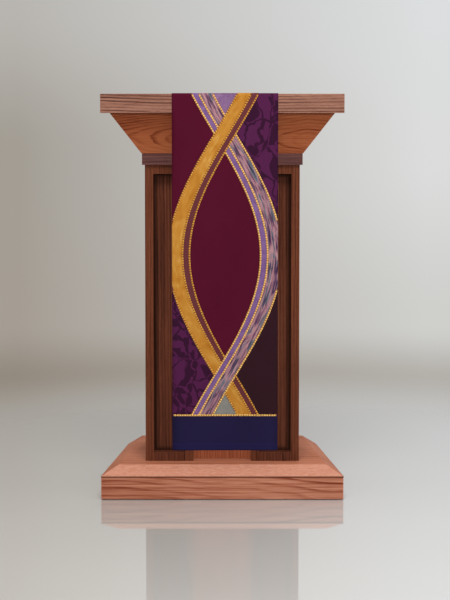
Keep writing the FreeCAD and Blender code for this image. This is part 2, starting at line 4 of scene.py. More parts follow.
import bpy
import numpy as np
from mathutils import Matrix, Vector


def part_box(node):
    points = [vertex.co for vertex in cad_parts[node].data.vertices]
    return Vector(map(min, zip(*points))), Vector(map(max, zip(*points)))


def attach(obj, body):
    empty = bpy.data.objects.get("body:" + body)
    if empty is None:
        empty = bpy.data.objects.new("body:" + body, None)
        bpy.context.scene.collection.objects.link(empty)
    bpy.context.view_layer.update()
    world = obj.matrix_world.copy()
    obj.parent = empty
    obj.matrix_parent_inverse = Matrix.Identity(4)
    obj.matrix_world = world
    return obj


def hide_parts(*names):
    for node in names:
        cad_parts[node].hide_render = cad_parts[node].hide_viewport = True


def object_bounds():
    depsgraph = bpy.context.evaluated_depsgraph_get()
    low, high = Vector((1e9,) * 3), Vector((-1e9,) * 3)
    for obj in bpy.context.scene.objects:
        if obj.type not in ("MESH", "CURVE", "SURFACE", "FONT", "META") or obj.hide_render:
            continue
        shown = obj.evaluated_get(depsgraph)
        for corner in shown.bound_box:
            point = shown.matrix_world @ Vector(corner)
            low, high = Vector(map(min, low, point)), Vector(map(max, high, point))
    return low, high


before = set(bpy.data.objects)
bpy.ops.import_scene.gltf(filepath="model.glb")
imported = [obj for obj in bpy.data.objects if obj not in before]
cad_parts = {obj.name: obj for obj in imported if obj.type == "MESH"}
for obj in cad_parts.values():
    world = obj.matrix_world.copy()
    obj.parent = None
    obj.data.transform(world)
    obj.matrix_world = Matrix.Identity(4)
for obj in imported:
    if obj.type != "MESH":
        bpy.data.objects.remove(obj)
cad_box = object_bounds()


# ---------------------------------------------------------------- material nodes

# Outputs by number: the Texture Coordinate node's UV and object places, and the Geometry node's
# true normal.
UV_PLACE, OBJECT_PLACE = 2, 3
TRUE_NORMAL = 3


def colour(red, green, blue):
    """A display colour, 0 to 255 a channel, as the linear colour that shaders use."""
    def linear(channel):
        share = channel / 255
        return share / 12.92 if share <= 0.04045 else ((share + 0.055) / 1.055) ** 2.4
    return (linear(red), linear(green), linear(blue), 1.0)


class Graph:
    """One material and short calls that add nodes to it. A call returns the node's output."""

    def __init__(self, name):
        self.material = bpy.data.materials.new(name)
        self.material.use_nodes = True
        self.tree = self.material.node_tree
        self.shader = self.tree.nodes["Principled BSDF"]

    def feed(self, socket, value):
        """Link a socket from another node's output, or set its plain value."""
        if isinstance(value, bpy.types.NodeSocket):
            self.tree.links.new(value, socket)
        else:
            socket.default_value = value

    def node(self, kind, output=0, settings=None, **inputs):
        """Add a node, with its settings and its inputs by name, and give one output."""
        made = self.tree.nodes.new("ShaderNode" + kind)
        for key, value in (settings or {}).items():
            setattr(made, key, value)
        for key, value in inputs.items():
            self.feed(made.inputs[key.replace("_", " ")], value)
        return made.outputs[output]

    def math(self, operation, first, second=0.0, third=0.0):
        """One step of arithmetic."""
        made = self.tree.nodes.new("ShaderNodeMath")
        made.operation = operation
        for socket, value in zip(made.inputs, (first, second, third)):
            self.feed(socket, value)
        return made.outputs[0]

    def mix(self, share, first, second, blend="MIX"):
        """Two colours mixed."""
        made = self.tree.nodes.new("ShaderNodeMix")
        made.data_type = "RGBA"
        made.blend_type = blend
        self.feed(made.inputs[0], share)
        self.feed(made.inputs[6], first)
        self.feed(made.inputs[7], second)
        return made.outputs[2]

    def ramp(self, share, *stops):
        """A colour ramp through (place, colour or grey level) stops."""
        made = self.tree.nodes.new("ShaderNodeValToRGB")
        elements = made.color_ramp.elements
        while len(elements) < len(stops):
            elements.new(0.5)
        for element, (place, shade) in zip(elements, stops):
            element.position = place
            element.color = (shade, shade, shade, 1) if isinstance(shade, (int, float)) else shade
        self.feed(made.inputs[0], share)
        return made.outputs[0]

    def stretched(self, vector, scales, shift=(0, 0, 0)):
        """A vector scaled differently along each axis, then shifted."""
        return self.node("Mapping", Vector=vector, Scale=scales, Location=shift)

    def noise(self, vector, detail=2.0, roughness=0.5, distortion=0.0):
        """Plain noise of size 1 in the vector's own units."""
        return self.node("TexNoise", Vector=vector, Scale=1.0, Detail=detail,
                         Roughness=roughness, Distortion=distortion)

    def bump(self, height, strength, distance):
        """Give the surface relief from a height."""
        normal = self.node("Bump", Height=height, Strength=strength, Distance=distance)
        self.feed(self.shader.inputs["Normal"], normal)

    def finish(self, base, roughness, **plain):
        """Connect the colour and roughness, and set the shader's own values."""
        self.feed(self.shader.inputs["Base Color"], base)
        self.feed(self.shader.inputs["Roughness"], roughness)
        for key, value in plain.items():
            self.shader.inputs[key.replace("_", " ")].default_value = value
        return self.material


# ---------------------------------------------------------------- woods

# Each wood: its dark, middle and light colours, growth rings a metre, streaks a metre, how
# strongly the rings and the streaks show, how many open pores it has, its roughness and its shine.
WOODS = {
    "slab": ((60, 30, 27), (126, 86, 71), (150, 109, 92), 150, 300, 1.0, 0.5, 0.5, 0.45, 0.08),
    "crown": ((96, 36, 16), (149, 80, 48), (168, 102, 66), 190, 170, 0.6, 0.4, 0.15, 0.4, 0.08),
    "collar": ((52, 31, 31), (84, 53, 50), (108, 70, 66), 160, 170, 0.3, 0.9, 0.5, 0.5, 0.08),
    "post": ((54, 25, 15), (92, 48, 31), (114, 65, 45), 170, 240, 0.5, 0.6, 0.5, 0.45, 0.08),
    "panel": ((42, 18, 11), (84, 44, 30), (106, 60, 43), 110, 240, 0.8, 0.8, 0.5, 0.45, 0.08),
    "centre": ((84, 36, 20), (150, 81, 54), (168, 98, 68), 260, 240, 0.8, 0.5, 0.3, 0.42, 0.08),
    "board": ((120, 62, 38), (169, 104, 77), (187, 126, 98), 60, 200, 0.3, 0.5, 0.2, 0.42, 0.02),
    "skirt": ((110, 48, 30), (159, 98, 75), (184, 128, 104), 110, 230, 0.9, 0.9, 0.12, 0.42, 0.02),
    "inner": ((150, 106, 68), (186, 144, 100), (206, 170, 126), 110, 170, 0.5, 0.5, 0.3, 0.5, 0.12),
}

# How a board was cut: the distance and direction of the log's centre from the board's middle, how
# much the rings lean along the board, which makes arched figure, and how far they wander.
STRAIGHT_CUT = (0.9, 20, 0.004, 0.012)
EVEN_CUT = (0.9, 50, 0.004, 0.012)
RIFT_CUT = (0.6, 40, 0.008, 0.025)
FLAT_CUT = (0.07, 80, 0.08, 0.04)
WAVY_CUT = (0.22, 62, 0.02, 0.05)


def wood_of(node):
    """The wood and the cut of one CAD node."""
    if node.startswith("desk_") and "rail" in node or node in ("reading_board", "book_stop"):
        return "slab", EVEN_CUT
    if node.startswith("crown_"):
        return "crown", FLAT_CUT
    if node.startswith("collar_"):
        return "collar", RIFT_CUT
    if node == "centre_panel":
        return "centre", STRAIGHT_CUT
    if node == "base_top_board":
        return "board", EVEN_CUT
    if "skirt" in node:
        return "skirt", WAVY_CUT
    if "shelf" in node or "bearer" in node or "block" in node or node == "desk_cleat":
        return "inner", STRAIGHT_CUT
    if "panel" in node or "post_bottom_rail" in node:
        return "panel", STRAIGHT_CUT
    return "post", RIFT_CUT


def wood(name, kind, cut, low, high, seed, upright=False):
    """Timber for one board: rings about its log's centre, streaks, pores and a satin finish."""
    dark, middle, light, rings, fine, ring_share, streak_share, pore_share, dull, shine = WOODS[kind]
    reach, angle, lean, roam = cut
    size = high - low
    order = [2, 0, 1] if upright else sorted(range(3), key=lambda axis: -size[axis])
    centre = (low + high) / 2
    g = Graph(name)
    axes = g.tree.nodes.new("ShaderNodeSeparateXYZ")
    g.feed(axes.inputs[0], g.node("TexCoord", output=OBJECT_PLACE))
    along, wide, deep = (axes.outputs[axis] for axis in order)
    grain = g.node("CombineXYZ", X=along, Y=wide, Z=deep)
    shift = (seed * 3.1 % 7, seed * 5.7 % 11, seed * 2.3 % 5)

    # rings: the distance to the log's centre, which wanders along the board
    wander = g.noise(g.stretched(grain, (1.8, 6, 6), shift), detail=2)
    ripple = g.noise(g.stretched(grain, (10, 70, 70), shift), detail=2)
    side = 1 if seed % 2 else -1
    away = math.radians(angle)
    across = g.math("SUBTRACT", wide, centre[order[1]] + side * reach * math.cos(away))
    under = g.math("SUBTRACT", deep, centre[order[2]] + reach * math.sin(away))
    radius = g.math("SQRT", g.math("MULTIPLY_ADD", across, across, g.math("MULTIPLY", under, under)))
    tip = centre[order[0]] + 0.38 * side * size[order[0]]
    radius = g.math("MULTIPLY_ADD", g.math("ABSOLUTE", g.math("SUBTRACT", along, tip)), lean, radius)
    radius = g.math("MULTIPLY_ADD", wander, roam, radius)
    radius = g.math("MULTIPLY_ADD", ripple, 0.003, radius)
    count = g.math("MULTIPLY", radius, rings)
    phase = g.math("FRACT", count)
    each = g.node("TexWhiteNoise", settings={"noise_dimensions": "1D"}, W=g.math("FLOOR", count))
    patchy = g.noise(g.stretched(grain, (4, 25, 25), shift), detail=2)
    line = g.ramp(phase, (0.0, 0.3), (0.08, 0.0), (0.55, 0.1), (0.86, 1.0), (0.95, 0.9), (1.0, 0.3))
    weight = g.math("MULTIPLY", g.math("MULTIPLY_ADD", each, 0.8, 0.3),
                    g.math("MULTIPLY_ADD", patchy, 1.6, 0.0))
    line = g.math("MULTIPLY", line, weight)

    # streaks, fibres and pores run along the grain
    streak = g.noise(g.stretched(grain, (2.2, fine, fine), shift), detail=4, roughness=0.7)
    fibre = g.noise(g.stretched(grain, (16, 800, 800), shift), detail=2)
    pore = g.noise(g.stretched(grain, (40, 1500, 1500), shift), detail=1)
    pores = g.ramp(g.math("MULTIPLY_ADD", line, 0.12, pore), (0.6, 0.0), (0.7, 1.0))
    tone = g.noise(g.stretched(grain, (2.0, 9, 9), shift), detail=2)

    level = g.math("MULTIPLY_ADD", g.math("SUBTRACT", streak, 0.5), 2.4 * streak_share, 0.58)
    level = g.math("MULTIPLY_ADD", g.math("SUBTRACT", fibre, 0.5), 0.8, level)
    level = g.math("MULTIPLY_ADD", g.math("SUBTRACT", tone, 0.5), 0.7, level)
    level = g.math("MULTIPLY_ADD", line, -0.85 * ring_share, level)
    base = g.ramp(level, (0.0, colour(*dark)), (0.5, colour(*middle)), (1.0, colour(*light)))
    base = g.mix(g.math("MULTIPLY", pores, pore_share), base, colour(*(0.55 * c for c in dark)))

    # painted highlight on the base's forward-facing bevel and nose
    if kind == "board":
        base = painted_bevel_highlight(g, base, grain)
    # painted shade along the joint between the base's top board and its skirts
    if kind in ("board", "skirt"):
        base = painted_joint_shade(g, base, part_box("base_top_board")[0].z, 0.0016, 0.0034, 0.85)
    # painted shadow under the slab, along the crown's top edge
    if kind == "crown":
        base = painted_joint_shade(g, base, high.z, 0.002, 0.008, 0.6)
    # painted shade along the edges of the posts' recessed panels
    if "post_panel" in name:
        base = painted_recess_shade(g, base, tone, low, high)

    # edges are painted a little lighter: partly rubbed wear, partly a painted highlight along the
    # edges
    eased = g.node("Bevel", settings={"samples": 4}, Radius=0.0025)
    facing = g.node("VectorMath", output=1, settings={"operation": "DOT_PRODUCT"})
    g.feed(facing.node.inputs[0], eased)
    g.feed(facing.node.inputs[1], g.node("NewGeometry", output=TRUE_NORMAL))
    wear_and_highlight = g.math("MULTIPLY", g.math("SUBTRACT", 1.0, facing), 2.2)
    base = g.mix(g.math("MINIMUM", wear_and_highlight, 0.3), base, colour(*(min(255, 1.25 * c) for c in light)))
    rough = g.math("MULTIPLY_ADD", fibre, 0.25, dull - 0.05)
    height = g.math("MULTIPLY_ADD", fibre, 0.5, g.math("MULTIPLY", line, -0.5))
    height = g.math("MULTIPLY_ADD", pores, -pore_share, height)
    g.bump(height, 0.3, 0.0004)
    return g.finish(base, rough, Specular_IOR_Level=shine)


def painted_bevel_highlight(g, base, grain):
    """Painted highlight: the base's top board is painted paler, with flecks, on its faces that face
    forward, its front bevel and nose.
    """
    facing = g.node("SeparateXYZ", output=1, Vector=g.node("NewGeometry", output=TRUE_NORMAL))
    share = g.node("MapRange", Value=facing, From_Min=-0.2, From_Max=-0.5)
    fleck = g.noise(g.stretched(grain, (60, 220, 220)), detail=4, roughness=0.65, distortion=0.8)
    fleck = g.math("MULTIPLY_ADD", g.math("SUBTRACT", fleck, 0.5), 2.2, 0.62)
    return g.mix(g.math("MULTIPLY", share, fleck), base, colour(188, 136, 116))


def painted_joint_shade(g, base, level, near, far, shade_strength):
    """Painted shade along a level line where two parts meet: how dark it is close to the line and how
    far it reaches.
    """
    height = g.node("SeparateXYZ", output=2, Vector=g.node("TexCoord", output=OBJECT_PLACE))
    away = g.math("ABSOLUTE", g.math("SUBTRACT", height, level))
    share = g.node("MapRange", Value=away, From_Min=near, From_Max=far, To_Min=shade_strength, To_Max=0.0)
    return g.mix(share, base, colour(64, 26, 17))


def painted_recess_shade(g, base, tone, low, high):
    """A post's panel is painted darker along the edges of its recess: painted shade."""
    axes = g.tree.nodes.new("ShaderNodeSeparateXYZ")
    g.feed(axes.inputs[0], g.node("TexCoord", output=OBJECT_PLACE))
    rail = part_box("left_post_bottom_rail")
    groove, margin = 0.008, rail[1].z - rail[0].z

    def near(place, near_edge, far_edge, reach):
        first = g.math("SUBTRACT", place, near_edge)
        second = g.math("SUBTRACT", far_edge, place)
        inside = g.math("MULTIPLY_ADD", tone, 0.006, g.math("MINIMUM", first, second))
        return g.node("MapRange", settings={"interpolation_type": "SMOOTHSTEP"}, Value=inside,
                      From_Min=0.25 * reach, From_Max=reach, To_Min=0.8, To_Max=0.0)

    sides = near(axes.outputs[0], low.x + groove, high.x - groove, 0.022)
    ends = near(axes.outputs[2], low.z + margin, high.z - margin, 0.02)
    return g.mix(g.math("MAXIMUM", sides, ends), base, colour(30, 13, 8))


def metal(name, tint, gloss):
    """Brushed metal with fine scratches and a little tarnish."""
    g = Graph(name)
    place = g.node("TexCoord", output=OBJECT_PLACE)
    brush = g.noise(g.stretched(place, (60, 4000, 4000)), detail=2)
    tarnish = g.noise(g.stretched(place, (90, 90, 90)), detail=4)
    base = g.mix(g.ramp(tarnish, (0.35, 0.0), (0.8, 0.6)), colour(*tint),
                 colour(*(0.62 * c for c in tint)))
    g.bump(brush, 0.2, 0.0002)
    rough = g.math("MULTIPLY_ADD", brush, 0.3, gloss)
    return g.finish(base, rough, Metallic=1.0)


def plastic(name, tint):
    """Moulded glide plastic, scuffed underneath."""
    g = Graph(name)
    place = g.node("TexCoord", output=OBJECT_PLACE)
    scuff = g.noise(g.stretched(place, (400, 400, 400)), detail=4)
    base = g.mix(g.ramp(scuff, (0.45, 0.0), (0.7, 0.5)), colour(*tint),
                 colour(*(min(255, 1.6 * c) for c in tint)))
    g.bump(scuff, 0.2, 0.0003)
    return g.finish(base, g.math("MULTIPLY_ADD", scuff, 0.3, 0.4))


def soften_edges(node, width):
    """Ease a CAD node's sharp edges, as sanding does."""
    weld = node.modifiers.new("weld", "WELD")
    weld.merge_threshold = 0.00001
    bevel = node.modifiers.new("eased", "BEVEL")
    bevel.width = width
    bevel.segments = 2
    bevel.limit_method = "ANGLE"
    bevel.angle_limit = math.radians(25)
    bevel.use_clamp_overlap = True


def dress_frame():
    """Give every CAD node its material and eased edges."""
    steel = metal("screw_steel", (168, 168, 164), 0.3)
    brass = metal("bar_brass", (206, 156, 84), 0.28)
    glide = plastic("glide_plastic", (52, 46, 42))
    for seed, (name, node) in enumerate(sorted(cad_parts.items())):
        node.data.materials.clear()
        if "screws" in name:
            node.data.materials.append(steel)
        elif name == "parament_weight_bar":
            node.data.materials.append(brass)
            soften_edges(node, 0.001)
        elif name == "base_glides":
            node.data.materials.append(glide)
        elif name != "parament_cloth":
            kind, cut = wood_of(name)
            low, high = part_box(name)
            upright = "_post_" in name and "rail" in name
            node.data.materials.append(wood("wood_" + name, kind, cut, low, high, seed, upright))
            soften_edges(node, 0.002 if "skirt" in name else 0.001)


dress_frame()


# ---------------------------------------------------------------- parament

CLOTH_LOW, CLOTH_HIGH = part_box("parament_cloth")
RAIL_LOW, RAIL_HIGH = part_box("desk_front_rail")
BOARD_LOW, BOARD_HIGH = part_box("reading_board")
CLOTH_WIDTH = CLOTH_HIGH.x - CLOTH_LOW.x
CLOTH_MIDDLE = (CLOTH_HIGH.x + CLOTH_LOW.x) / 2
CLOTH_DROP = CLOTH_HIGH.z - CLOTH_LOW.z
CLOTH_THICK = 0.0014
FOLD = 0.003
FOLD_LENGTH = FOLD * math.pi / 2
BEND_Y = RAIL_HIGH.y
BOARD_THICK = 0.018
SLOPE = math.atan2(BOARD_HIGH.z - BOARD_LOW.z - BOARD_THICK, BOARD_HIGH.y - BOARD_LOW.y)
TAIL = 0.2
HALF = CLOTH_WIDTH / 2
INSET = 0.0006
SWAY = 0.0011
PATCH_THICK = 0.0003

# The pattern is a twist of two strands over coloured fields, above a level foot band. Its lines are
# plain formulas and follow none of the photo's seams, but its layout and the places of its colours
# still resemble the photo's cloth. Each strand swings across as a cosine and is sewn from two
# ribbons, with a seam between them. The fields run on under the strands by TUCK, and each LIFT is a
# height over the cloth.
FOOT_TOP = 0.9 * CLOTH_DROP
HEM = 0.02
EYE_MIDDLE = 0.5 * FOOT_TOP
EYE_LENGTH = 0.75 * FOOT_TOP
SWING = HALF - 0.02
STRAND_HALF = 0.03
RIBBON_SEAM = -0.01
TUCK = 0.02
FIELD_LIFT = 0.0003
STRAND_LIFT = 0.001
WEAVE_LIFT = 0.0003
FOOT_LIFT = 0.0016
CORD_MARGIN = 0.003


def cloth_point(u, v, lift=0.0):
    """A point on the hung cloth: u across from its middle, v down from the desk's top edge,
    negative along the tail, and lift out from its outer face."""
    ease = min(max(v, 0.0) / CLOTH_DROP, 1.0)
    sway = SWAY * ease * (math.sin(27 * u + 0.8) + 0.5 * math.sin(61 * u + 5 * v))
    front = CLOTH_LOW.y + INSET + sway
    top = CLOTH_HIGH.z - INSET
    if v >= FOLD:
        return Vector((CLOTH_MIDDLE + u, front - lift, top - v))
    if v > FOLD - FOLD_LENGTH:
        turn = (FOLD - v) / FOLD
        out = FOLD + lift
        return Vector((CLOTH_MIDDLE + u, front + FOLD - out * math.cos(turn),
                       top - FOLD + out * math.sin(turn)))
    run = front + FOLD + (FOLD - FOLD_LENGTH - v)
    if run <= BEND_Y:
        return Vector((CLOTH_MIDDLE + u, run, top + lift))
    past = run - BEND_Y
    return Vector((CLOTH_MIDDLE + u, BEND_Y + past * math.cos(SLOPE) + lift * math.sin(SLOPE),
                   top - past * math.sin(SLOPE) + lift * math.cos(SLOPE)))


def phase(v):
    """How far along the twist a place lies: 0 at the eye's middle, a quarter turn at a crossing."""
    return math.pi * (v - EYE_MIDDLE) / EYE_LENGTH


def strand(side, offset):
    """A line along the strand that lies on one side of the eye, offset away from the eye."""
    return lambda v: side * (SWING * math.cos(phase(v)) + offset)


def spread(v):
    """How far both strands' middles lie from the cloth's middle."""
    return SWING * abs(math.cos(phase(v)))


def strand_lift(side):
    """A strand's height along the twist: the left one is over at the top, the right one below."""
    return lambda v: STRAND_LIFT + side * WEAVE_LIFT * math.sin(phase(v))


def edge_field(side):
    """The two edges of the field between the twist and one side of the cloth."""
    if side < 0:
        return lambda v: -HALF, lambda v: -spread(v)
    return spread, lambda v: HALF


UPPER_CROSSING = EYE_MIDDLE - EYE_LENGTH / 2
LOWER_CROSSING = EYE_MIDDLE + EYE_LENGTH / 2
BETWEEN = (lambda v: -spread(v), spread)

# The fields under the strands: fabric, left and right edges, and where each starts and ends. They
# run on under the strands, which cover their edges.
FIELDS = {
    "upper_left": ("wine", *edge_field(-1), 0.0, EYE_MIDDLE - TUCK),
    "upper_right": ("damask", *edge_field(1), 0.0, EYE_MIDDLE - TUCK),
    "lower_left": ("damask", *edge_field(-1), EYE_MIDDLE + TUCK, FOOT_TOP + TUCK),
    "lower_right": ("umber", *edge_field(1), EYE_MIDDLE + TUCK, FOOT_TOP + TUCK),
    "top_wedge": ("lilac", *BETWEEN, 0.0, UPPER_CROSSING - TUCK),
    "eye": ("wine", *BETWEEN, UPPER_CROSSING + TUCK, LOWER_CROSSING - TUCK),
    "low_wedge": ("grey", *BETWEEN, LOWER_CROSSING + TUCK, FOOT_TOP + TUCK),
}

# The strands: the side of the eye that each lies on, and its inner and outer ribbons' fabrics.
STRANDS = {"gold": (-1, "rose", "gold"), "violet": (1, "violet", "print")}


def fabric_base(name, pattern):
    """A woven cloth: its pattern from the flat cloth's own place, with threads and sheen."""
    g = Graph("fabric_" + name)
    place = g.node("TexCoord", output=UV_PLACE)
    base = pattern(g, place)
    warp, weft = (g.node("TexWave", settings={"bands_direction": way}, Vector=place, Scale=260.0,
                         Distortion=0.6, Detail=1.0) for way in "XY")
    weave = g.math("MULTIPLY_ADD", weft, 0.5, g.math("MULTIPLY", warp, 0.5))
    slub = g.noise(g.stretched(place, (60, 900, 1)), detail=3)
    base = g.mix(g.math("MULTIPLY", weave, 0.14), base, (0.0, 0.0, 0.0, 1.0))
    base = g.mix(g.math("MULTIPLY", slub, 0.12), base, (1.0, 1.0, 1.0, 1.0), "SOFT_LIGHT")
    g.bump(g.math("ADD", weave, g.math("MULTIPLY", slub, 0.6)), 0.3, 0.0003)
    g.shader.inputs["Sheen Roughness"].default_value = 0.4
    return g.finish(base, g.math("MULTIPLY_ADD", slub, 0.2, 0.62), Sheen_Weight=0.01,
                    Specular_IOR_Level=0.05)


def plain(tint, shade):
    """A plain dyed cloth with a slow drift of shade."""
    def pattern(g, place):
        drift = g.noise(g.stretched(place, (5, 3, 1)), detail=3)
        return g.mix(g.ramp(drift, (0.3, 0.0), (0.75, 1.0)), colour(*tint), colour(*shade))
    return pattern


def mottled(tint, shade, light, size):
    """A hand-dyed cloth, clouded with darker and lighter patches."""
    def pattern(g, place):
        cloud = g.noise(g.stretched(place, (size, size, 1)), detail=5, roughness=0.62, distortion=0.6)
        wisps = g.noise(g.stretched(place, (size * 4, size * 2.2, 1), (3, 1, 0)), detail=4,
                        distortion=1.5)
        base = g.ramp(cloud, (0.3, colour(*shade)), (0.5, colour(*tint)), (0.72, colour(*light)))
        return g.mix(g.ramp(wisps, (0.52, 0.0), (0.66, 0.45)), base, colour(*light))
    return pattern


def follow(g, place, side):
    """A flat place as its distance across one strand and how far down it lies."""
    axes = g.tree.nodes.new("ShaderNodeSeparateXYZ")
    g.feed(axes.inputs[0], place)
    turn = math.pi / EYE_LENGTH
    swing = g.math("COSINE", g.math("MULTIPLY_ADD", axes.outputs[1], turn, -turn * EYE_MIDDLE))
    across = g.math("MULTIPLY_ADD", swing, -side * SWING, axes.outputs[0])
    return g.node("CombineXYZ", X=across, Y=axes.outputs[1], Z=0.0)


def brushed(g, place):
    """Gold cloth, softly clouded along its strand."""
    run = follow(g, place, -1)
    stroke = g.noise(g.stretched(run, (60, 20, 1)), detail=4, roughness=0.55, distortion=1.2)
    cloud = g.noise(g.stretched(place, (16, 16, 1)), detail=2, distortion=0.8)
    level = g.math("MULTIPLY_ADD", cloud, 0.55, g.math("MULTIPLY", stroke, 0.45))
    return g.ramp(level, (0.36, colour(154, 98, 32)), (0.47, colour(166, 111, 41)),
                  (0.54, colour(171, 118, 47)), (0.66, colour(184, 139, 70)))


def strokes(g, place):
    """Broken painterly strokes of mauve, rose, slate and navy along a strand."""
    run = follow(g, place, 1)
    wave = g.noise(g.stretched(run, (80, 14, 1)), detail=3, distortion=1.2)
    pick = g.noise(g.stretched(run, (190, 21, 1), (4, 2, 0)), detail=3)
    base = g.ramp(wave, (0.28, colour(46, 38, 72)), (0.4, colour(122, 84, 100)),
                  (0.5, colour(158, 114, 120)), (0.58, colour(104, 98, 108)),
                  (0.68, colour(66, 84, 96)), (0.8, colour(134, 96, 98)))
    base = g.mix(g.ramp(pick, (0.5, 0.0), (0.6, 0.85)), base, colour(52, 36, 62))
    return g.mix(g.ramp(pick, (0.3, 0.9), (0.4, 0.0)), base, colour(168, 132, 132))


def damask(g, place):
    """A tone-on-tone damask of leafy shapes, of this part's own design."""
    leaf = g.noise(g.stretched(place, (14, 12, 1), (2, 1, 0)), detail=2.5, roughness=0.4,
                   distortion=0.5)
    sway = g.noise(g.stretched(place, (22, 22, 1), (5, 2, 0)), detail=2)
    swayed = g.node("CombineXYZ", X=sway, Y=sway, Z=0.0)
    bent = g.mix(1.0, g.stretched(place, (20, 15, 1)), swayed, "ADD")
    vine = g.node("TexVoronoi", settings={"feature": "DISTANCE_TO_EDGE"}, Vector=bent, Scale=1.0)
    ground, bloom, shadow = colour(70, 26, 60), colour(86, 32, 73), colour(46, 17, 39)
    petals = g.mix(g.ramp(vine, (0.5, 0.0), (0.52, 1.0)), ground, bloom)
    petals = g.mix(g.ramp(vine, (0.045, 1.0), (0.065, 0.0)), petals, shadow)
    leaves = g.mix(g.ramp(vine, (0.03, 1.0), (0.045, 0.0)), shadow, ground)
    return g.mix(g.ramp(leaf, (0.47, 0.0), (0.485, 1.0)), leaves, petals)


FABRICS = {
    "wine": fabric_base("wine", plain((73, 14, 35), (66, 11, 30))),
    "lilac": fabric_base("lilac", mottled((115, 85, 120), (101, 72, 110), (130, 101, 132), 38)),
    "violet": fabric_base("violet", mottled((107, 77, 124), (93, 66, 112), (120, 92, 134), 38)),
    "gold": fabric_base("gold", brushed),
    "print": fabric_base("print", strokes),
    "damask": fabric_base("damask", damask),
    "rose": fabric_base("rose", plain((92, 46, 50), (84, 40, 44))),
    "grey": fabric_base("grey", mottled((116, 115, 109), (108, 107, 102), (124, 122, 116), 45)),
    "umber": fabric_base("umber", plain((44, 22, 29), (38, 19, 25))),
    "indigo": fabric_base("indigo", plain((31, 26, 56), (28, 22, 50))),
    "hem": fabric_base("hem", plain((30, 26, 60), (27, 22, 54))),
    "lining": fabric_base("lining", plain((62, 42, 68), (54, 36, 60))),
}


def link(name, vertices, faces, uvs=None):
    """A new mesh object, with flat-cloth places as its UVs when they are given."""
    mesh = bpy.data.meshes.new(name)
    mesh.from_pydata([tuple(v) for v in vertices], [], faces)
    if uvs is not None:
        layer = mesh.uv_layers.new(name="flat")
        for loop in mesh.loops:
            layer.data[loop.index].uv = uvs[loop.vertex_index]
    made = bpy.data.objects.new(name, mesh)
    bpy.context.scene.collection.objects.link(made)
    for face in mesh.polygons:
        face.use_smooth = True
    return made


def strip(name, left, right, start, end, lift, columns, step=0.004):
    """A sheet between two lines on the cloth, laid a little out from its face."""
    rows = max(2, int((end - start) / step) + 1)
    vertices, uvs, faces = [], [], []
    for row in range(rows):
        v = start + (end - start) * row / (rows - 1)
        low, high = max(left(v), -HALF), min(right(v), HALF)
        for column in range(columns + 1):
            u = low + (high - low) * column / columns
            vertices.append(cloth_point(u, v, lift(v)))
            uvs.append((u, v))
    width = columns + 1
    for row in range(rows - 1):
        for column in range(columns):
            first = row * width + column
            faces.append((first, first + width, first + width + 1, first + 1))
    return link(name, vertices, faces, uvs)


def thicken(piece, depth):
    """Give a sheet its thickness, inwards from its face."""
    solid = piece.modifiers.new("thickness", "SOLIDIFY")
    solid.thickness = depth
    solid.offset = -1
    return piece


def ground_cloth():
    """The whole sheet that the patches are sewn to, from the hem over the desk to the tail."""
    length = CLOTH_DROP + TAIL + (BEND_Y - CLOTH_LOW.y)
    piece = strip("parament", lambda v: -HALF, lambda v: HALF, CLOTH_DROP - length, CLOTH_DROP,
                  lambda v: 0.0, 24, 0.006)
    piece.data.materials.append(FABRICS["wine"])
    piece.data.materials.append(FABRICS["lining"])
    solid = thicken(piece, CLOTH_THICK).modifiers["thickness"]
    solid.material_offset = 1
    return piece, length


def patch(name, fabric, left, right, start, end, lift):
    """One coloured patch, sewn on."""
    piece = strip("patch_" + name, left, right, start, end, lift, 10)
    piece.data.materials.append(FABRICS[fabric])
    return thicken(piece, PATCH_THICK)


def patches():
    """The fields, the two strands' ribbons, and the foot with its hem."""
    made = []
    for name, (fabric, left, right, start, end) in FIELDS.items():
        made.append(patch(name, fabric, left, right, start, end, lambda v: FIELD_LIFT))
    for name, (side, inner, outer) in STRANDS.items():
        lift = strand_lift(side)
        edges = [strand(side, offset) for offset in (-STRAND_HALF, RIBBON_SEAM, STRAND_HALF)]
        for part, fabric, near, far in (("inner", inner, 0, 1), ("outer", outer, 1, 2)):
            left, right = (edges[near], edges[far]) if side > 0 else (edges[far], edges[near])
            made.append(patch(f"{name}_{part}", fabric, left, right, 0.0, FOOT_TOP + TUCK, lift))
    whole = (lambda v: -HALF, lambda v: HALF)
    made.append(patch("foot", "indigo", *whole, FOOT_TOP, CLOTH_DROP, lambda v: FOOT_LIFT))
    made.append(patch("hem", "hem", *whole, CLOTH_DROP - HEM, CLOTH_DROP,
                      lambda v: FOOT_LIFT + PATCH_THICK))
    return made


def thread(name, tint, shade):
    """Twisted metallic thread."""
    g = Graph(name)
    place = g.node("TexCoord", output=OBJECT_PLACE)
    twist = g.noise(g.stretched(place, (900, 900, 900)), detail=2)
    base = g.mix(g.ramp(twist, (0.35, 0.0), (0.65, 1.0)), colour(*shade), colour(*tint))
    g.bump(twist, 0.4, 0.0003)
    return g.finish(base, g.math("MULTIPLY_ADD", twist, 0.25, 0.38), Specular_IOR_Level=0.3)


def seam_runs(side, offset):
    """The stretches of a strand's seam that show: on the cloth and not under the other strand."""
    samples, shortest = 1200, 12
    runs, run = [], []
    for v in np.linspace(CORD_MARGIN, FOOT_TOP, samples):
        u = strand(side, offset)(v)
        under = side * math.sin(phase(v)) < 0 and abs(u - strand(-side, 0.0)(v)) < STRAND_HALF
        if abs(u) > HALF - CORD_MARGIN or under:
            runs.append(run)
            run = []
        else:
            run.append((u, v))
    return [stretch for stretch in runs + [run] if len(stretch) > shortest]


def evenly(run, step):
    """Places along a run of (u, v) points, evenly spaced by length."""
    us, vs = np.array(run).T
    lengths = np.concatenate([[0], np.cumsum(np.hypot(np.diff(us), np.diff(vs)))])
    places = np.arange(0, lengths[-1], step)
    return np.interp(places, lengths, us), np.interp(places, lengths, vs)


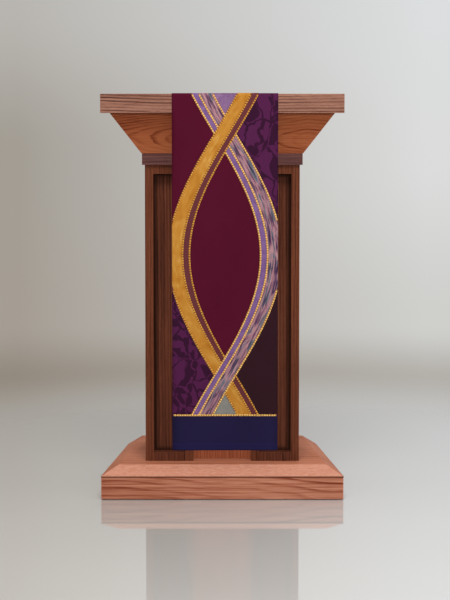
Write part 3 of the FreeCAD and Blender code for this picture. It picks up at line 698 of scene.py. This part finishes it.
def twisted_cord(name, runs, lift, inks):
    """Two plies laid round each other along a seam, with flecks of a second colour."""
    ply, turn, pitch, step, sides = 0.0015, 0.0016, 0.0072, 0.0009, 5
    fleck = 0.38
    vertices, faces, inks_of = [], [], []
    for run in runs:
        us, vs = evenly(run, step)
        du, dv = np.gradient(us), np.gradient(vs)
        norm = np.hypot(du, dv)
        side_u, side_v = dv / norm, -du / norm
        for start_turn in (0.0, math.pi):
            first = len(vertices)
            for k in range(len(us)):
                turned = 2 * math.pi * k * step / pitch + start_turn
                shift = turn * math.cos(turned)
                height = lift(vs[k]) + 0.6 * turn * (1 + math.sin(turned))
                for n in range(sides):
                    spin = 2 * math.pi * n / sides
                    out = shift + ply * math.cos(spin)
                    vertices.append(cloth_point(us[k] + out * side_u[k], vs[k] + out * side_v[k],
                                                height + 0.8 * ply * (1 + math.sin(spin))))
            for k in range(len(us) - 1):
                for n in range(sides):
                    a = first + k * sides + n
                    b = first + k * sides + (n + 1) % sides
                    faces.append((a, b, b + sides, a + sides))
                    inks_of.append(1 if k * step % pitch < fleck * pitch else 0)
            faces.append(tuple(first + n for n in reversed(range(sides))))
            faces.append(tuple(first + (len(us) - 1) * sides + n for n in range(sides)))
            inks_of += [0, 0]
    piece = link(name, vertices, faces)
    for ink in inks:
        piece.data.materials.append(ink)
    for face, ink in zip(piece.data.polygons, inks_of):
        face.material_index = ink
    return piece


def cords():
    """The gold cords that cover the strands' seams and the foot's upper edge."""
    bright = thread("thread_gold", (216, 164, 66), (190, 136, 48))
    rust = thread("thread_rust", (140, 76, 38), (110, 56, 34))
    pale = thread("thread_pale_gold", (236, 200, 120), (216, 172, 88))
    brown = thread("thread_brown", (184, 128, 62), (150, 96, 50))
    made = []
    for name, (side, _, _) in STRANDS.items():
        inks = (bright, rust) if side < 0 else (pale, brown)
        for part, offset in (("near", -STRAND_HALF), ("mid", RIBBON_SEAM), ("far", STRAND_HALF)):
            runs = seam_runs(side, offset)
            made.append(twisted_cord(f"cord_{name}_{part}", runs, strand_lift(side), inks))
    level = [(CORD_MARGIN - HALF, FOOT_TOP), (HALF - CORD_MARGIN, FOOT_TOP)]
    made.append(twisted_cord("cord_foot", [level], lambda v: FOOT_LIFT, (pale, brown)))
    return made


def parament():
    """The whole hanging: ground, patches and cords, which take the hidden CAD cloth's place."""
    cloth, length = ground_cloth()
    trim = patches() + cords()
    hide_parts("parament_cloth")
    for piece in [cloth, *trim]:
        piece.visible_shadow = False
        piece.visible_glossy = False
        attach(piece, "root")


parament()


# ---------------------------------------------------------------- studio

def backdrop():
    """A pale glossy floor, painted darker on the left and towards the back as painted shade, that
    fades into the surroundings well behind the pulpit.
    """
    rings, spokes, reach = 12, 64, 2.6
    vertices = [(0, 0, 0)]
    for ring in range(1, rings + 1):
        for spoke in range(spokes):
            angle = 2 * math.pi * spoke / spokes
            radius = reach * ring / rings
            vertices.append((radius * math.cos(angle), radius * math.sin(angle), 0))
    faces = [(0, 1 + spoke, 1 + (spoke + 1) % spokes) for spoke in range(spokes)]
    for ring in range(rings - 1):
        for spoke in range(spokes):
            a = 1 + ring * spokes + spoke
            b = 1 + ring * spokes + (spoke + 1) % spokes
            faces.append((a, a + spokes, b + spokes, b))
    floor = link("floor", vertices, faces)
    g = Graph("floor")
    place = g.node("TexCoord", output=OBJECT_PLACE)
    cloud = g.noise(g.stretched(place, (0.8, 0.8, 1)), detail=2)
    # painted shade: the floor's colour darkens towards the left
    across = g.node("SeparateXYZ", Vector=place)
    shade = g.node("MapRange", Value=across, From_Min=-0.9, From_Max=0.9)
    base = g.mix(shade, colour(186, 182, 174), colour(214, 214, 214))
    # painted shade: the floor's colour darkens towards the back
    back = g.node("MapRange", Value=g.node("SeparateXYZ", output=1, Vector=place),
                  From_Min=-0.5, From_Max=1.1, To_Min=0.14, To_Max=0.33)
    base = g.mix(back, base, colour(70, 58, 46))
    g.finish(base, g.math("MULTIPLY_ADD", cloud, 0.02, 0.02), Metallic=0.24)
    distance = g.node("VectorMath", output=1, settings={"operation": "LENGTH"})
    g.feed(distance.node.inputs[0], place)
    edge = g.node("MapRange", settings={"interpolation_type": "SMOOTHSTEP"}, Value=distance,
                  From_Min=1.0, From_Max=2.3, To_Min=1.0, To_Max=0.0)
    g.feed(g.shader.inputs["Alpha"], edge)
    floor.data.materials.append(g.material)


# The surroundings' grey levels, left and right, for each height of the direction looked in.
SURROUNDINGS = [
    (-0.35, (190, 189, 185), (218, 221, 222)),
    (-0.27, (184, 181, 176), (217, 219, 220)),
    (-0.22, (174, 168, 159), (196, 196, 194)),
    (-0.165, (146, 137, 125), (178, 174, 168)),
    (-0.13, (165, 157, 148), (207, 207, 204)),
    (-0.03, (163, 157, 148), (219, 220, 219)),
    (0.06, (184, 181, 176), (220, 222, 223)),
]


def surroundings():
    """A soft grey surround, darker on the left and just above the floor's far edge."""
    world = bpy.data.worlds.new("studio")
    bpy.context.scene.world = world
    world.use_nodes = True
    tree = world.node_tree
    place = tree.nodes.new("ShaderNodeTexCoord")
    axes = tree.nodes.new("ShaderNodeSeparateXYZ")
    tree.links.new(place.outputs["Generated"], axes.inputs[0])

    def share_of(axis, low, high):
        made = tree.nodes.new("ShaderNodeMapRange")
        tree.links.new(axes.outputs[axis], made.inputs["Value"])
        made.inputs["From Min"].default_value = low
        made.inputs["From Max"].default_value = high
        return made.outputs[0]

    lowest_level, highest_level = SURROUNDINGS[0][0], SURROUNDINGS[-1][0]
    height = share_of("Z", lowest_level, highest_level)
    mixer = tree.nodes.new("ShaderNodeMix")
    mixer.data_type = "RGBA"
    tree.links.new(share_of("X", -0.12, 0.12), mixer.inputs[0])
    for side in (0, 1):
        ramp = tree.nodes.new("ShaderNodeValToRGB")
        ramp.color_ramp.interpolation = "EASE"
        elements = ramp.color_ramp.elements
        while len(elements) < len(SURROUNDINGS):
            elements.new(0.5)
        for element, (level, *shades) in zip(elements, SURROUNDINGS):
            element.position = (level - lowest_level) / (highest_level - lowest_level)
            element.color = colour(*shades[side])
        tree.links.new(height, ramp.inputs[0])
        tree.links.new(ramp.outputs[0], mixer.inputs[6 + side])
    tree.links.new(mixer.outputs[2], tree.nodes["Background"].inputs["Color"])
    tree.nodes["Background"].inputs["Strength"].default_value = 1.0


def softbox(name, place, target, size, power):
    """A large square soft light."""
    data = bpy.data.lights.new(name, "AREA")
    data.shape = "SQUARE"
    data.size = size
    data.energy = power
    lamp = bpy.data.objects.new(name, data)
    bpy.context.scene.collection.objects.link(lamp)
    lamp.location = place
    lamp.rotation_mode = "QUATERNION"
    lamp.rotation_quaternion = (Vector(target) - Vector(place)).to_track_quat("-Z", "Y")
    lamp.visible_camera = False
    lamp.visible_glossy = False


def camera():
    """A long lens at the height of the desk, square to the front."""
    stand_off, eye, tilt, lens = 4.8, 1.152, 4.26, 100.4
    data = bpy.data.cameras.new("camera")
    data.lens = lens
    data.sensor_width = 36.0
    data.shift_x = 0.0045
    data.shift_y = -0.12
    made = bpy.data.objects.new("camera", data)
    bpy.context.scene.collection.objects.link(made)
    made.location = (0.0, cad_box[0].y - stand_off, eye)
    made.rotation_euler = (math.radians(90 - tilt), 0.0, 0.0)
    bpy.context.scene.camera = made


backdrop()
surroundings()
softbox("front_left", (-2.0, -3.8, 1.6), (0, 0, 0.6), 0.6, 14)
softbox("front_right", (2.0, -3.8, 1.6), (0, 0, 0.6), 0.6, 14)
softbox("low_front", (0, -2.6, 0.6), (0, 0, 0.1), 0.5, 13)
softbox("top", (0, -2.0, 3.3), (0, 0, 0.1), 1.2, 85)
softbox("back", (0.4, 3.4, 2.6), (0, 0, 0.6), 2.0, 50)
camera()
bpy.context.scene.view_settings.view_transform = "Standard"
